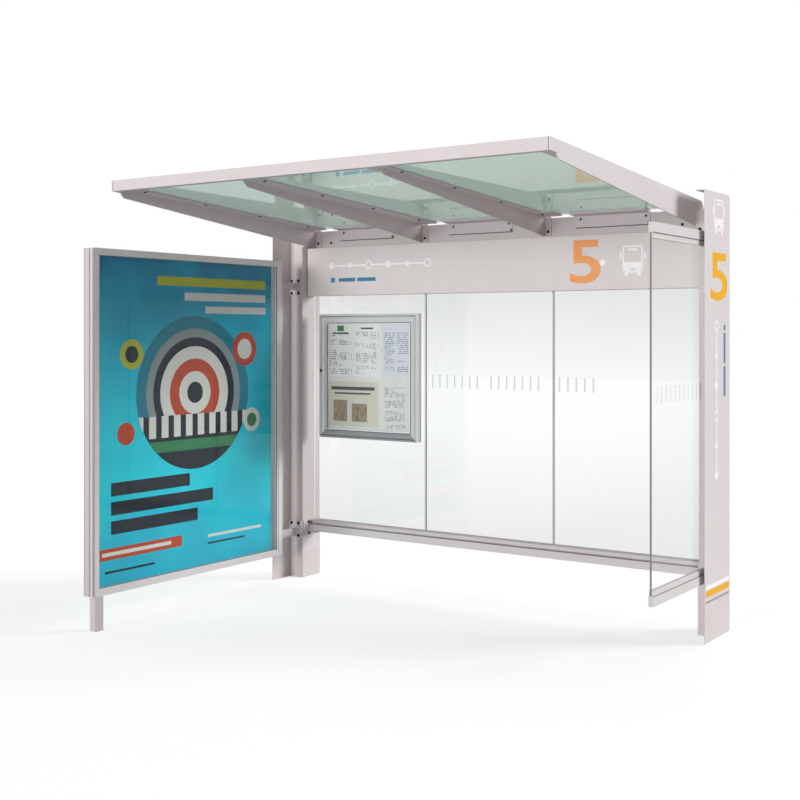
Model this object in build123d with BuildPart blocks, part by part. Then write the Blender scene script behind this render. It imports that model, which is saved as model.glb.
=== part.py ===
import os

from build123d import *

os.makedirs("parts", exist_ok=True)

# A bus shelter: two posts with a glazed back wall, a cantilevered glass roof,
# a short glass return on the right and a poster case on arms on the left.
# X runs along the shelter, Y from the road side to the back, Z up from the ground.
# The origin is on the ground in the middle of the whole footprint.

# Posts
clear_width = 2612  # between the posts
post_width = 100
post_depth = 178
post_height = 2150
post_wall = 5
post_corner = 8

# Plates on the outer faces of the posts
plate_thickness = 4
plate_reach = 160  # in front of the posts
totem_height = 2235
totem_lip = 48
totem_lip_thickness = 5

# Poster case
case_length = 1432
case_thickness = 85
case_bottom = 176
case_height = 1790
case_inset = 13  # its inner face stands this far inside the post
case_corner = 8
case_groove = 6
case_groove_depth = 3
case_stile_front = 36
case_stile_rear = 44
case_rail_top = 36
case_rail_bottom = 39
case_door_thickness = 24
case_door_step = 4  # the inner lip of the door frame lies this much lower
case_door_lip = 12
case_glass = 5
case_glass_recess = 7
case_board_thickness = 4
case_board_depth = 34  # from the inner face of the case to the board
door_gap = 0.5

# Leg and arms that carry the poster case
leg_width = 42
leg_depth = 56
leg_setback = 5
arm_length = 200
arm_web = 8
arm_web_inset = 59  # from the inner face of the case
arm_plate = 10
arm_plate_width = 96
arm_plate_height = 104
arm_inset_top = 150  # from the top of the case to the middle of the upper plate
arm_inset_bottom = 126
arm_web_spans = {"upper": (-16, 25), "lower": (-41, 9)}

# Back wall
glass_setback = 114  # from the front of the posts to the glass
wall_glass = 10
glass_edge_gap = 4
seam_gap = 4
seam_offsets = (-447, 415)
joint_width = 10
joint_cover = 1.5
wall_glass_drop = 100  # below the top of the posts
rail_bottom = 285
rail_height = 47
rail_front = 66
rail_depth = 94
rail_end_gap = 5
clamp_depth = 30
clamp_height = 22
clamp_edge = 3
bracket_front = 10
bracket_depth = 70
bracket_overlap = 23  # above and below the rail

# Header panel and the beam behind it
header_drop = 92  # below the top of the posts
header_height = 298
header_depth = 70
header_wall = 3
header_end_gap = 6
header_fold = 4
beam_rise = 18  # above the top of the posts
beam_height = 178
beam_wall = 4

# Roof
roof_length = 2590
roof_front_reach = 1518  # in front of the posts
roof_back_reach = 112  # behind the front of the posts
roof_rise = 169  # from the top of the posts to the front edge of the roof
roof_slope = 0.07
roof_rim = 55
roof_glass = 8
roof_glass_drop = 22.5  # below the rim at the front edge
roof_glass_slope = 0.065
roof_glass_gap = 3
fascia_thickness = 3
fascia_lip = 40
fascia_top_lip = 14

# Rafters
rafter_web = 7
rafter_flange = 93
rafter_flange_thickness = 8
rafter_tip_setback = 58  # behind the front edge of the roof
rafter_tip_drop = 84  # below the front edge of the roof
rafter_tip_cut = 18
rafter_end_drop = 90  # below the top of the posts
rafter_end_plate = 8
rafter_end_width = 36
rafter_rear_round = 50
packer_setback = 4
packer_height = 84
middle_rafter_faces = (-470, 364)  # right faces of the two middle webs
middle_flange = 116
middle_flange_reaches = (109, 50)  # past the right face of each web
middle_flange_pad = 140  # along the wider rear end of each flange
middle_tip_setback = 115
middle_tip_drop = 72
middle_end_drop = 83

# Clamps that hold the back edge of the roof glass
panel_clamp_left = 185  # from the web on its left
panel_clamp_right = 206  # from the web or flange on its right
panel_clamp_leg = 8
panel_clamp_drop = 44  # below the top of the posts
panel_clamp_arm = 15
panel_clamp_reach = 76

# Glass return on the right
return_length = 725
return_glass = 10
return_setback = 29.5  # from the inner face of the totem plate to the glass
return_rail_width = 24
return_rail_height = 48
return_rail_bottom = 289
return_rail_drop = 116  # below the top of the posts
return_lip = 4
return_lip_height = 27

# Notice case on the back wall
notice_left = -1220
notice_width = 746
notice_bottom = 880
notice_height = 766
notice_front = 57  # behind the front of the posts
notice_back = 108
notice_wall = 12
notice_side = 46
notice_top_rail = 54
notice_bottom_rail = 46
notice_door_thickness = 18
notice_rim_height = 12  # of the flat rim round the door
notice_groove_height = 9
notice_edge_height = 11  # where the moulding meets the glass
notice_moulding = {"rim": 0.24, "groove": 0.3, "crest": 0.45, "slope": 0.62}  # shares of a bar's width
notice_glass = 4
notice_glass_recess = 8
notice_board_thickness = 3
notice_pocket = 7.5
notice_corner = 6
spacer_radius = 18
spacer_inset = 90

# Places worked out from the sizes above
overall_depth = case_length + arm_length + post_depth
post_front = overall_depth / 2 - post_depth
post_back = post_front + post_depth
post_inner = clear_width / 2
post_outer = post_inner + post_width
plate_front = post_front - plate_reach
case_inner = -post_inner + case_inset
case_outer = case_inner - case_thickness
case_front = post_front - arm_length - case_length
case_rear = post_front - arm_length
case_top = case_bottom + case_height
case_door_back = case_inner - case_door_thickness
wall_front = post_front + glass_setback
wall_back = wall_front + wall_glass
wall_glass_top = post_height - wall_glass_drop
rail_top = rail_bottom + rail_height
header_top = post_height - header_drop
header_bottom = header_top - header_height
beam_top = post_height + beam_rise
beam_bottom = beam_top - beam_height
roof_top = post_height + roof_rise
roof_half = roof_length / 2
roof_front = post_front - roof_front_reach
roof_back = post_front + roof_back_reach
rafter_back = wall_back - rafter_end_plate
rafter_tip = roof_front + rafter_tip_setback
rafter_tip_bottom = roof_top - rafter_tip_drop
rafter_end_bottom = post_height - rafter_end_drop
middle_tip = roof_front + middle_tip_setback
middle_tip_bottom = roof_top - middle_tip_drop
middle_end_bottom = post_height - middle_end_drop
panel_clamp_bottom = post_height - panel_clamp_drop
return_rail_top = post_height - return_rail_drop
notice_right = notice_left + notice_width
notice_top = notice_bottom + notice_height
notice_face = post_front + notice_front
notice_door_back = notice_face + notice_door_thickness


def roof_z(y, drop=0):
    """Height of the roof's rim at y, or of what lies a given drop below it."""
    return roof_top - roof_slope * (y - roof_front) - drop


def glass_z(y, drop=0):
    """Height of the top of the roof glass at y, or of what lies a given drop below it."""
    return roof_top - roof_glass_drop - roof_glass_slope * (y - roof_front) - drop


def block(x, y, z, mode=Mode.ADD):
    """A rectangular block between the two ends of each of its three ranges."""
    with Locations(((x[0] + x[1]) / 2, (y[0] + y[1]) / 2, (z[0] + z[1]) / 2)):
        Box(x[1] - x[0], y[1] - y[0], z[1] - z[0], mode=mode)


def outline(*points):
    """A closed face through the points, on the sketch's own plane."""
    Polygon(*points, align=None)


def sloping_bar(y_from, y_to, drop_top, drop_bottom):
    """The side view of a bar that follows the slope of the roof glass."""
    outline(
        (y_from, glass_z(y_from, drop_top)),
        (y_to, glass_z(y_to, drop_top)),
        (y_to, glass_z(y_to, drop_bottom)),
        (y_from, glass_z(y_from, drop_bottom)),
    )


def save(builder, name):
    """Label a finished piece and write it under its own name."""
    builder.part.label = name
    export_step(builder.part, f"parts/{name}.step")


# The two posts are folded steel boxes, closed at the top and open at the foot.
for side, name in ((-1, "left_post"), (1, "right_post")):
    post_centre = (side * (post_inner + post_width / 2), (post_front + post_back) / 2)
    with BuildPart() as post:
        with BuildSketch():
            with Locations(post_centre):
                RectangleRounded(post_width, post_depth, post_corner)
        extrude(amount=post_height)
        with BuildSketch():
            with Locations(post_centre):
                RectangleRounded(
                    post_width - 2 * post_wall, post_depth - 2 * post_wall, post_corner - post_wall
                )
        extrude(amount=post_height - post_wall, mode=Mode.SUBTRACT)
    save(post, name)

# A flat plate covers the outer face of the left post and reaches forward.
with BuildPart() as left_plate:
    block((-post_outer - plate_thickness, -post_outer), (plate_front, post_back), (0, post_height))
save(left_plate, "left_plate")

# The taller plate on the right post carries the stop's signs and folds inwards at the top.
totem_face = post_outer + plate_thickness
with BuildPart() as totem_plate:
    block((post_outer, totem_face), (plate_front, post_back), (0, totem_height))
    block(
        (totem_face - totem_lip, totem_face),
        (plate_front, post_back),
        (totem_height - totem_lip_thickness, totem_height),
    )
save(totem_plate, "totem_plate")

# The beam is a steel box between the posts, behind the top of the glass.
with BuildPart() as back_beam:
    block((-post_inner, post_inner), (wall_back, post_back), (beam_bottom, beam_top))
    block(
        (-post_inner, post_inner),
        (wall_back + beam_wall, post_back - beam_wall),
        (beam_bottom + beam_wall, beam_top - beam_wall),
        Mode.SUBTRACT,
    )
save(back_beam, "back_beam")

# The header panel is a folded tray in front of the glass, with a plate let into its back.
header_half = post_inner - header_end_gap
header_front = wall_front - header_depth
with BuildPart() as header_panel:
    block((-header_half, header_half), (header_front, wall_front), (header_bottom, header_top))
    header_edges = header_panel.edges().filter_by(Axis.X).group_by(Axis.Y)[0]
    fillet(header_edges, header_fold)
    block(
        (-header_half + header_wall, header_half - header_wall),
        (header_front + header_wall, wall_front),
        (header_bottom + header_wall, header_top - header_wall),
        Mode.SUBTRACT,
    )
save(header_panel, "header_panel")

with BuildPart() as header_back:
    block(
        (-header_half + header_wall, header_half - header_wall),
        (wall_front - header_wall, wall_front),
        (header_bottom + header_wall, header_top - header_wall),
    )
save(header_back, "header_back")

# The bottom rail runs between brackets on the posts; two strips clamp the glass onto it.
rail_half = post_inner - rail_end_gap
rail_y = (post_front + rail_front, post_front + rail_front + rail_depth)
with BuildPart() as bottom_rail:
    block((-rail_half, rail_half), rail_y, (rail_bottom, rail_top))
save(bottom_rail, "bottom_rail")

glass_half = post_inner - glass_edge_gap
with BuildPart() as glass_clamps:
    for clamp_y in ((wall_front - clamp_depth, wall_front), (wall_back, wall_back + clamp_depth)):
        block((-glass_half, glass_half), clamp_y, (rail_top, rail_top + clamp_height))
    clamp_edges = glass_clamps.edges().filter_by(Axis.X)
    chamfer(clamp_edges.group_by(Axis.Y)[0] + clamp_edges.group_by(Axis.Y)[-1], clamp_edge)
save(glass_clamps, "glass_clamps")

bracket_y = (post_front + bracket_front, post_front + bracket_front + bracket_depth)
bracket_z = (rail_bottom - bracket_overlap, rail_top + bracket_overlap)
with BuildPart() as rail_brackets:
    block((-post_inner, -rail_half), bracket_y, bracket_z)
    block((rail_half, post_inner), bracket_y, bracket_z)
save(rail_brackets, "rail_brackets")

# Three panes make the back wall, with a slim joint profile between each two.
pane_edges = [-glass_half]
for seam in seam_offsets:
    pane_edges += [seam - seam_gap / 2, seam + seam_gap / 2]
pane_edges.append(glass_half)
for index in range(len(seam_offsets) + 1):
    with BuildPart() as pane:
        block(
            (pane_edges[2 * index], pane_edges[2 * index + 1]),
            (wall_front, wall_back),
            (rail_top, wall_glass_top),
        )
    save(pane, f"wall_glass_{index + 1}")

with BuildPart() as glass_joints:
    for seam in seam_offsets:
        between_panes = (seam - seam_gap / 2, seam + seam_gap / 2)
        block(between_panes, (wall_front, wall_back), (rail_top, wall_glass_top))
        for face in (wall_front - joint_cover, wall_back):
            block(
                (seam - joint_width / 2, seam + joint_width / 2),
                (face, face + joint_cover),
                (rail_top + clamp_height, header_bottom),
            )
save(glass_joints, "glass_joints")

# Each end rafter is a tall tapered plate whose top edge closes the side of the roof. A flange
# inside it carries the glass, and its rear end is bolted to the beam and packed off the post.
flange_under = roof_glass + rafter_flange_thickness


def inward(side, outer, width):
    """The X range that starts at an outer face and runs towards the middle of the roof."""
    return (outer, outer + width) if side < 0 else (outer - width, outer)


for side, name in ((-1, "left_rafter"), (1, "right_rafter")):
    outer = side * roof_half
    web_x = inward(side, outer, rafter_web)
    flange_x = inward(side, outer, rafter_flange)
    end_x = inward(side, outer, rafter_web + rafter_end_width)
    with BuildPart() as rafter:
        with BuildSketch(Plane.YZ.offset(web_x[0])):
            outline(
                (roof_front, roof_z(roof_front)),
                (rafter_back, roof_z(rafter_back)),
                (rafter_back, rafter_end_bottom),
                (rafter_tip + rafter_tip_cut, rafter_tip_bottom),
                (rafter_tip, rafter_tip_bottom + rafter_tip_cut),
                (rafter_tip, roof_z(rafter_tip, roof_rim)),
                (roof_front, roof_z(roof_front, roof_rim)),
            )
        extrude(amount=rafter_web)
        rear_corner = rafter.edges().filter_by(Axis.X).sort_by(lambda e: e.center().Y + e.center().Z)[-1]
        fillet(rear_corner, rafter_rear_round)
        with BuildSketch(Plane.YZ.offset(flange_x[0])):
            sloping_bar(roof_front + fascia_thickness, roof_back, roof_glass, flange_under)
        extrude(amount=rafter_flange)
        block(end_x, (rafter_back, wall_back), (rafter_end_bottom, glass_z(rafter_back, flange_under)))
        block(
            (-post_inner, -roof_half) if side < 0 else (roof_half, post_inner),
            (post_front + packer_setback, rafter_back),
            (post_height - packer_height, post_height),
        )
    save(rafter, name)

# The two middle rafters are tapered webs under flat flanges, below the joints of the roof glass.
# Each flange has a wider pad at its rear end.
middle_flanges = [
    (face + reach - middle_flange, face + reach)
    for face, reach in zip(middle_rafter_faces, middle_flange_reaches)
]
pad_reach = max(middle_flange_reaches)
for index, (face, flange_x) in enumerate(zip(middle_rafter_faces, middle_flanges)):
    with BuildPart() as rafter:
        with BuildSketch(Plane.YZ.offset(face - rafter_web)):
            outline(
                (middle_tip, glass_z(middle_tip, roof_glass)),
                (rafter_back, glass_z(rafter_back, roof_glass)),
                (rafter_back, middle_end_bottom),
                (middle_tip + rafter_tip_cut, middle_tip_bottom),
                (middle_tip, middle_tip_bottom + rafter_tip_cut),
            )
        extrude(amount=rafter_web)
        with BuildSketch(Plane.YZ.offset(flange_x[0])):
            sloping_bar(roof_front + fascia_thickness, roof_back, roof_glass, flange_under)
        extrude(amount=middle_flange)
        with BuildSketch(Plane.YZ.offset(face)):
            sloping_bar(roof_back - middle_flange_pad, roof_back, roof_glass, flange_under)
        extrude(amount=pad_reach)
        block(
            (face - rafter_web, face + rafter_end_width),
            (rafter_back, wall_back),
            (middle_end_bottom, glass_z(rafter_back, flange_under)),
        )
    save(rafter, f"middle_rafter_{index + 1}")

# The front of the roof is a folded fascia between the end rafters.
fascia_half = roof_half - rafter_web
fascia_top = roof_z(roof_front)
with BuildPart() as front_fascia:
    block(
        (-fascia_half, fascia_half),
        (roof_front, roof_front + fascia_thickness),
        (fascia_top - roof_rim, fascia_top),
    )
    block(
        (-fascia_half, fascia_half),
        (roof_front, roof_front + fascia_lip),
        (fascia_top - roof_rim, fascia_top - roof_rim + fascia_thickness),
    )
    block(
        (-fascia_half, fascia_half),
        (roof_front, roof_front + fascia_top_lip),
        (fascia_top - fascia_thickness, fascia_top),
    )
save(front_fascia, "front_fascia")

# Three sheets of tinted glass lie on the flanges and meet over the middle of each one.
roof_seams = [(left + right) / 2 for left, right in middle_flanges]
roof_edges = [-fascia_half + roof_glass_gap]
for seam in roof_seams:
    roof_edges += [seam - roof_glass_gap / 2, seam + roof_glass_gap / 2]
roof_edges.append(fascia_half - roof_glass_gap)
for index in range(len(roof_seams) + 1):
    left_edge, right_edge = roof_edges[2 * index], roof_edges[2 * index + 1]
    with BuildPart() as roof_sheet:
        with BuildSketch(Plane.YZ.offset(left_edge)):
            sloping_bar(roof_front + fascia_thickness + roof_glass_gap, roof_back, 0, roof_glass)
        extrude(amount=right_edge - left_edge)
    save(roof_sheet, f"roof_glass_{index + 1}")

# An angle clamp on the beam holds the back edge of each roof sheet, between two rafters.
panel_clamp_front = wall_back - panel_clamp_reach
bay_starts = [-fascia_half, *middle_rafter_faces]
bay_ends = [face - rafter_web for face in middle_rafter_faces] + [roof_half - rafter_flange]
for index, (bay_left, bay_right) in enumerate(zip(bay_starts, bay_ends)):
    clamp_x = (bay_left + panel_clamp_left, bay_right - panel_clamp_right)
    with BuildPart() as panel_clamp:
        with BuildSketch(Plane.YZ.offset(clamp_x[0])):
            sloping_bar(panel_clamp_front, wall_back, roof_glass, roof_glass + panel_clamp_arm)
        extrude(amount=clamp_x[1] - clamp_x[0])
        block(
            clamp_x,
            (wall_back - panel_clamp_leg, wall_back),
            (panel_clamp_bottom, glass_z(wall_back, roof_glass)),
        )
    save(panel_clamp, f"panel_clamp_{index + 1}")

# The return on the right is a pane held by a grooved rail above and below, in front of the post.
return_front = post_front - return_length
return_glass_x = (totem_face - return_setback - return_glass, totem_face - return_setback)
return_mid = (return_glass_x[0] + return_glass_x[1]) / 2
return_rail_x = (return_mid - return_rail_width / 2, return_mid + return_rail_width / 2)
return_y = (return_front, post_front)
lower_edge = return_rail_bottom + return_rail_height
upper_edge = return_rail_top - return_rail_height
for name, bar, lips in (
    ("return_bottom_rail", (return_rail_bottom, lower_edge), (lower_edge, lower_edge + return_lip_height)),
    ("return_top_rail", (upper_edge, return_rail_top), (upper_edge - return_lip_height, upper_edge)),
):
    with BuildPart() as return_rail:
        block(return_rail_x, return_y, bar)
        block((return_glass_x[0] - return_lip, return_glass_x[0]), return_y, lips)
        block((return_glass_x[1], return_glass_x[1] + return_lip), return_y, lips)
    save(return_rail, name)

with BuildPart() as return_pane:
    block(return_glass_x, return_y, (lower_edge, upper_edge))
save(return_pane, "return_glass")

# The body of the poster case is a frame of four bars with a rounded, grooved front end.
case_x = (case_outer, case_door_back - door_gap)
window_y = (case_front + case_stile_front, case_rear - case_stile_rear)
window_z = (case_bottom + case_rail_bottom, case_top - case_rail_top)
groove_x = (case_x[1] - 2 * case_groove, case_x[1] - case_groove)
for name, bar_y, bar_z in (
    ("case_front_bar", (case_front, window_y[0]), (case_bottom, case_top)),
    ("case_rear_bar", (window_y[1], case_rear), (case_bottom, case_top)),
    ("case_top_bar", window_y, (window_z[1], case_top)),
    ("case_bottom_bar", window_y, (case_bottom, window_z[0])),
):
    with BuildPart() as case_bar:
        block(case_x, bar_y, bar_z)
        if bar_y[0] == case_front:
            corner = case_bar.edges().filter_by(Axis.Z).sort_by(lambda e: e.center().X + e.center().Y)[0]
            fillet(corner, case_corner)
            block(groove_x, (case_front, case_front + case_groove_depth), bar_z, Mode.SUBTRACT)
    save(case_bar, name)

# A backing board stands in the middle of the case and carries the posters.
board_x = (case_inner - case_board_depth - case_board_thickness, case_inner - case_board_depth)
with BuildPart() as case_board:
    block(board_x, window_y, window_z)
save(case_board, "case_board")

outer_glass_x = (case_outer + case_glass_recess, case_outer + case_glass_recess + case_glass)
with BuildPart() as case_outer_glass:
    block(outer_glass_x, window_y, window_z)
save(case_outer_glass, "case_outer_glass")


def wedge(left, right, low, high, left_in, right_in, low_in, high_in, side):
    """The share of a rectangular frame that one mitred bar takes."""
    outer_corners = {
        "left": ((left, low), (left, high)),
        "right": ((right, high), (right, low)),
        "top": ((left, high), (right, high)),
        "bottom": ((right, low), (left, low)),
    }
    inner_corners = {
        "left": ((left_in, high_in), (left_in, low_in)),
        "right": ((right_in, low_in), (right_in, high_in)),
        "top": ((right_in, high_in), (left_in, high_in)),
        "bottom": ((left_in, low_in), (right_in, low_in)),
    }
    outline(*outer_corners[side], *inner_corners[side])


# The inner door of the poster case is a mitred frame. Its inner lip lies a step lower.
door_z = (case_bottom + door_gap, case_top)
door_plane = Plane.YZ.offset(case_door_back)
step_low = case_door_thickness - case_door_step
for name, sides in (("poster_door_stiles", ("left", "right")), ("poster_door_rails", ("top", "bottom"))):
    with BuildPart() as door_bars:
        for side in sides:
            with BuildSketch(door_plane):
                wedge(case_front, case_rear, *door_z, *window_y, *window_z, side)
            extrude(amount=case_door_thickness)
        with BuildSketch(door_plane.offset(step_low)):
            outline(
                (window_y[0] - case_door_lip, window_z[0] - case_door_lip),
                (window_y[1] + case_door_lip, window_z[0] - case_door_lip),
                (window_y[1] + case_door_lip, window_z[1] + case_door_lip),
                (window_y[0] - case_door_lip, window_z[1] + case_door_lip),
            )
        extrude(amount=case_door_step, mode=Mode.SUBTRACT)
        if "left" in sides:
            end_edges = door_bars.edges().filter_by(Axis.Z).group_by(Axis.Y)[0]
            fillet(end_edges.sort_by(Axis.X)[-1], case_corner)
    save(door_bars, name)

door_glass_x = (case_inner - case_glass_recess - case_glass, case_inner - case_glass_recess)
with BuildPart() as poster_door_glass:
    block(door_glass_x, window_y, window_z)
save(poster_door_glass, "poster_door_glass")

# The case stands on one short leg at its road end.
leg_y = (case_front + leg_setback, case_front + leg_setback + leg_depth)
with BuildPart() as case_leg:
    block((case_inner - leg_width, case_inner), leg_y, (0, case_bottom))
    fillet(case_leg.edges().filter_by(Axis.Z), case_corner / 2)
save(case_leg, "case_leg")

# Two arms carry its other end: a web welded to a plate that is bolted to the front of the post.
arm_x = (case_inner - arm_web_inset - arm_web, case_inner - arm_web_inset)
for name, height in (("upper", case_top - arm_inset_top), ("lower", case_bottom + arm_inset_bottom)):
    web_low, web_high = arm_web_spans[name]
    with BuildPart() as case_arm:
        block(arm_x, (case_rear, post_front), (height + web_low, height + web_high))
        block(
            (-post_outer, -post_outer + arm_plate_width),
            (post_front - arm_plate, post_front),
            (height - arm_plate_height / 2, height + arm_plate_height / 2),
        )
    save(case_arm, f"case_arm_{name}")

# The notice case is a shallow box held off the wall glass by four round spacers.
body_front = notice_door_back + door_gap
notice_back_face = post_front + notice_back
pocket_floor = body_front + notice_pocket
with BuildPart() as notice_case:
    block((notice_left, notice_right), (body_front, notice_back_face), (notice_bottom, notice_top))
    fillet(notice_case.edges().filter_by(Axis.Y), notice_corner)
    block(
        (notice_left + notice_wall, notice_right - notice_wall),
        (body_front, pocket_floor),
        (notice_bottom + notice_wall, notice_top - notice_wall),
        Mode.SUBTRACT,
    )
    with BuildSketch(Plane.XZ.offset(-notice_back_face)):
        with Locations(((notice_left + notice_right) / 2, (notice_bottom + notice_top) / 2)):
            with GridLocations(notice_width - 2 * spacer_inset, notice_height - 2 * spacer_inset, 2, 2):
                Circle(spacer_radius)
    extrude(amount=notice_back_face - wall_front)
save(notice_case, "notice_case")

with BuildPart() as notice_board:
    block(
        (notice_left + notice_wall, notice_right - notice_wall),
        (pocket_floor - notice_board_thickness, pocket_floor),
        (notice_bottom + notice_wall, notice_top - notice_wall),
    )
save(notice_board, "notice_board")

# Its door is a mitred frame: a flat rim, a groove and a raised moulding that slopes to the glass.
view_x = (notice_left + notice_side, notice_right - notice_side)
view_z = (notice_bottom + notice_bottom_rail, notice_top - notice_top_rail)
notice_plane = Plane.XZ.offset(-notice_door_back)
door_corners = {
    "left": (notice_left, notice_top, Vector(1, 0, 0), notice_side, notice_height),
    "right": (notice_right, notice_bottom, Vector(-1, 0, 0), notice_side, notice_height),
    "top": (notice_right, notice_top, Vector(0, 0, -1), notice_top_rail, notice_width),
    "bottom": (notice_left, notice_bottom, Vector(0, 0, 1), notice_bottom_rail, notice_width),
}
for name, sides in (("notice_door_stiles", ("left", "right")), ("notice_door_rails", ("top", "bottom"))):
    with BuildPart() as notice_bars:
        for side in sides:
            start_x, start_z, inwards, width, length = door_corners[side]
            along = inwards.cross(Vector(0, -1, 0))
            rim, groove, crest, slope = (share * width for share in notice_moulding.values())
            with BuildPart(mode=Mode.PRIVATE) as moulding:
                with BuildSketch(Plane((start_x, notice_door_back, start_z), x_dir=inwards, z_dir=along)):
                    outline(
                        (0, 0),
                        (0, notice_rim_height),
                        (rim, notice_rim_height),
                        (rim, notice_groove_height),
                        (groove, notice_groove_height),
                        (crest, notice_door_thickness),
                        (slope, notice_door_thickness),
                        (width, notice_edge_height),
                        (width, 0),
                    )
                extrude(amount=length)
                with BuildSketch(notice_plane):
                    wedge(notice_left, notice_right, notice_bottom, notice_top, *view_x, *view_z, side)
                extrude(amount=notice_door_thickness, mode=Mode.INTERSECT)
            add(moulding.part)
    save(notice_bars, name)

glass_y = notice_face + notice_glass_recess
with BuildPart() as notice_door_glass:
    block(view_x, (glass_y, glass_y + notice_glass), view_z)
save(notice_door_glass, "notice_door_glass")
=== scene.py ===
import math

import bmesh
import bpy
from mathutils import Matrix, Vector


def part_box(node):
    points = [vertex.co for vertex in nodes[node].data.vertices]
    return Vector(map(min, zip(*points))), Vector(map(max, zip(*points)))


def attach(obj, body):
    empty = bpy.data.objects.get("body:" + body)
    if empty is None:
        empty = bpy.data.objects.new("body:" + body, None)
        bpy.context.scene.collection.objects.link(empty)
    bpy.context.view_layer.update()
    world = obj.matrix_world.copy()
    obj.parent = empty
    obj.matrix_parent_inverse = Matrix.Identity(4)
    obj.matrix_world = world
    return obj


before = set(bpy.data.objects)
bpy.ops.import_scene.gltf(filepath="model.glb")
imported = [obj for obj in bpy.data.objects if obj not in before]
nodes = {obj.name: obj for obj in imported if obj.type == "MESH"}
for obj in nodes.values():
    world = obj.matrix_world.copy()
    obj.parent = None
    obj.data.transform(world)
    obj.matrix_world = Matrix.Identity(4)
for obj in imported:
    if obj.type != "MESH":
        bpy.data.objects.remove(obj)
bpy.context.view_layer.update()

# ---------------------------------------------------------------------------
# The place: a pale floor under a plain white sky, with a broad soft lamp on each
# side. The floor is lifted to white for the camera, and partly for what glass
# and metal mirror, and still takes the shadow. No lamp shows in glass or metal.
# ---------------------------------------------------------------------------
camera_data = bpy.data.cameras.new("camera")
camera_data.lens = 54.10
camera_data.shift_x = -0.075
camera_data.shift_y = -0.084
camera = bpy.data.objects.new("camera", camera_data)
camera.location = (3.6266, -5.0235, 1.530)
camera.rotation_euler = (math.radians(90), 0, math.radians(33.144))
bpy.context.scene.collection.objects.link(camera)
bpy.context.scene.camera = camera
bpy.context.scene.view_settings.view_transform = "Standard"

SKY_LIGHT = 0.31
MIRRORED = 0.15  # share of the white sky and floor that a mirroring surface shows
FLOOR_SIZE = 60
FLOOR_COLOUR = 0.62
FLOOR_LIFT = 0.60


def seen_directly(tree):
    """A socket that is 1 for rays from the camera or through clear glass, and less from a mirror."""
    path = tree.nodes.new("ShaderNodeLightPath")
    dimmed = tree.nodes.new("ShaderNodeMath")
    dimmed.operation = "MULTIPLY"
    tree.links.new(path.outputs["Is Glossy Ray"], dimmed.inputs[0])
    dimmed.inputs[1].default_value = MIRRORED
    seen = path.outputs["Is Camera Ray"]
    for ray in (dimmed.outputs[0], path.outputs["Is Transmission Ray"]):
        either = tree.nodes.new("ShaderNodeMath")
        either.operation = "MAXIMUM"
        tree.links.new(seen, either.inputs[0])
        tree.links.new(ray, either.inputs[1])
        seen = either.outputs[0]
    return seen


world = bpy.data.worlds.new("sky")
world.use_nodes = True
bpy.context.scene.world = world
sky = world.node_tree
sky_lit = sky.nodes["Background"]
sky_lit.inputs["Color"].default_value = (1, 1, 1, 1)
sky_lit.inputs["Strength"].default_value = SKY_LIGHT
sky_seen = sky.nodes.new("ShaderNodeBackground")
sky_seen.inputs["Color"].default_value = (1, 1, 1, 1)
sky_seen.inputs["Strength"].default_value = 1.0
sky_mix = sky.nodes.new("ShaderNodeMixShader")
sky.links.new(seen_directly(sky), sky_mix.inputs[0])
sky.links.new(sky_lit.outputs[0], sky_mix.inputs[1])
sky.links.new(sky_seen.outputs[0], sky_mix.inputs[2])
sky.links.new(sky_mix.outputs[0], sky.nodes["World Output"].inputs["Surface"])

for name, strength, spread, turn, height in (
    ("front_lamp", 2.28, 22, -5, 3.5),
    ("right_lamp", 2.55, 26, 128, 15),
    ("rear_lamp", 0.60, 45, 175, 22),
    ("left_lamp", 0.60, 45, -82, 14),
):
    lamp_data = bpy.data.lights.new(name, "SUN")
    lamp_data.energy = strength
    lamp_data.angle = math.radians(spread)
    lamp = bpy.data.objects.new(name, lamp_data)
    lamp.visible_glossy = False
    lamp.visible_transmission = False
    lamp.rotation_euler = (math.radians(90 - height), 0, math.radians(turn))
    bpy.context.scene.collection.objects.link(lamp)

bpy.ops.object.select_all(action="DESELECT")
bpy.ops.mesh.primitive_plane_add(size=FLOOR_SIZE, location=(0, 0, 0))
floor = bpy.context.object
floor.name = "floor"
floor_finish = bpy.data.materials.new("pale_floor")
floor_finish.use_nodes = True
floor_tree = floor_finish.node_tree
floor_shader = floor_tree.nodes["Principled BSDF"]
floor_shader.inputs["Base Color"].default_value = (FLOOR_COLOUR, FLOOR_COLOUR, FLOOR_COLOUR, 1)
floor_shader.inputs["Roughness"].default_value = 1.0
floor_shader.inputs["Specular IOR Level"].default_value = 0.0
floor_shader.inputs["Emission Strength"].default_value = FLOOR_LIFT
floor_tree.links.new(seen_directly(floor_tree), floor_shader.inputs["Emission Color"])
floor.data.materials.append(floor_finish)


# ---------------------------------------------------------------------------
# Posts, side plate, beam and leg: folded steel sheet under a warm light grey
# powder coat, which has a fine orange peel, slight clouds in its colour, and
# a duller skirt where rain splashes up from the ground.
# ---------------------------------------------------------------------------
class Value:
    """One socket of a finish. Arithmetic on values adds the Math nodes that work it out."""

    def __init__(self, finish, socket):
        self.finish = finish
        self.socket = socket

    def math(self, operation, first, second):
        return self.finish.node("ShaderNodeMath", {"operation": operation}, {0: first, 1: second})

    def __add__(self, other):
        return self.math("ADD", self, other)

    def __sub__(self, other):
        return self.math("SUBTRACT", self, other)

    def __rsub__(self, other):
        return self.math("SUBTRACT", other, self)

    def __mul__(self, other):
        return self.math("MULTIPLY", self, other)

    def __mod__(self, other):
        return self.math("FLOORED_MODULO", self, other)

    def __gt__(self, other):
        return self.math("GREATER_THAN", self, other)

    def __lt__(self, other):
        return self.math("LESS_THAN", self, other)

    __radd__ = __add__
    __rmul__ = __mul__


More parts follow.
